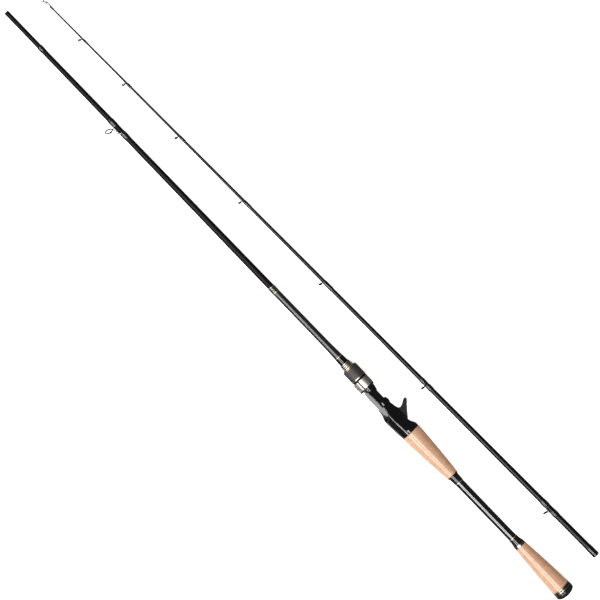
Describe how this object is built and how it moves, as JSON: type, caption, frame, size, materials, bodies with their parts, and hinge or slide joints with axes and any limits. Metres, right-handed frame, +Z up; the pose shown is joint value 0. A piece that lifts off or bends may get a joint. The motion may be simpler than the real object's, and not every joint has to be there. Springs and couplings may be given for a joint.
{
  "type": "two-piece baitcasting fishing rod",
  "caption": "Two-piece baitcasting fishing rod, taken apart: split cork handle, trigger reel seat with sliding hood and lock nut, line guides and a ferrule joint.",
  "frame": {"origin": "on the surface the two sections lie on, under the middle of the pair", "axes": "+X along the rod towards the tips, +Y across towards the side that carries the reel and the guides, +Z up"},
  "size_m": [1.1219, 0.0895, 0.0337],
  "materials": {
    "blank": "clear-coated dark carbon laminate with a faint weave",
    "tip_blank": "clear-coated dark carbon laminate",
    "wrap": "black thread under glossy varnish",
    "gold_trim": "metallic gold thread under glossy varnish",
    "marker": "dark wrap with a gold curl pattern under varnish",
    "band": "glossy dark band with a grey sheen",
    "guide_frame": "dark plated steel wire and pressings",
    "guide_insert": "polished dark ceramic",
    "tip_top_metal": "bright steel",
    "champagne": "anodised champagne metal",
    "seat": "gloss black moulded plastic",
    "arbor": "wound tape",
    "nut": "black moulded plastic",
    "nut_grip": "satin charcoal",
    "cork": "sanded natural cork with pits",
    "dark_trim": "gloss black",
    "check_metal": "turned silver metal",
    "butt_metal": "satin gold metal",
    "butt_cap": "gloss black rubber"
  },
  "bodies": {
    "handle_section": {"butt_blank": "blank", "stop_wrap": "wrap", "stop_wrap_trim": "gold_trim", "stripper_frame": "guide_frame", "stripper_ring": "guide_insert", "stripper_wraps": "wrap", "stripper_trims": "gold_trim", "marker_wrap": "marker", "marker_trims": "gold_trim", "gloss_band": "band", "fore_trim": "gold_trim", "fore_wrap": "wrap", "winding_check": "champagne", "seat_body": "seat", "seat_arbors": "arbor", "front_grip": "cork", "front_grip_ring": "dark_trim", "front_sleeve": "dark_trim", "front_line": "gold_trim", "rear_line": "gold_trim", "rear_sleeve": "dark_trim", "rear_check": "check_metal", "rear_grip": "cork", "butt_trims": "butt_metal", "butt_dark_ring": "dark_trim", "butt_cap": "butt_cap"},
    "hood": {"hood": "champagne", "hood_rim": "seat"},
    "lock_nut": {"nut_core": "nut", "nut_sleeve": "nut_grip", "nut_trims": "champagne"},
    "tip_section": {"tip_blank": "tip_blank", "socket_wrap": "wrap", "socket_trim": "gold_trim", "tip_top_frame": "tip_top_metal", "tip_top_ring": "guide_insert", "tip_top_wrap": "wrap", "guide_1_frame": "guide_frame", "guide_1_ring": "guide_insert", "guide_1_wrap": "wrap", "guide_2_frame": "guide_frame", "guide_2_ring": "guide_insert", "guide_2_wrap": "wrap", "guide_3_frame": "guide_frame", "guide_3_ring": "guide_insert", "guide_3_wrap": "wrap", "guide_4_frame": "guide_frame", "guide_4_ring": "guide_insert", "guide_4_wrap": "wrap", "guide_5_frame": "guide_frame", "guide_5_ring": "guide_insert", "guide_5_wrap": "wrap", "guide_6_frame": "guide_frame", "guide_6_ring": "guide_insert", "guide_6_wrap": "wrap", "guide_7_frame": "guide_frame", "guide_7_ring": "guide_insert", "guide_7_wrap": "wrap"}
  },
  "joints": [
    {"name": "hood_slide", "type": "slide", "parent": "handle_section", "child": "hood", "axis": [-0.9999, 0, 0.0142], "range_m": [0, 0.008]},
    {"name": "nut_spin", "type": "hinge", "parent": "hood", "child": "lock_nut", "pos_m": [-0.13644, 0.02778, 0.01331], "axis": [-0.9999, 0, 0.0142], "range_deg": [0, 1440.1]},
    {"name": "tip_section_lift", "type": "slide", "parent": "handle_section", "child": "tip_section", "axis": [0, 0, 1], "range_m": [0, 0.15]}
  ],
  "couplings": [
    {"joint": "nut_spin", "follows": "hood_slide", "rad_per_m": 3141.6}
  ]
}
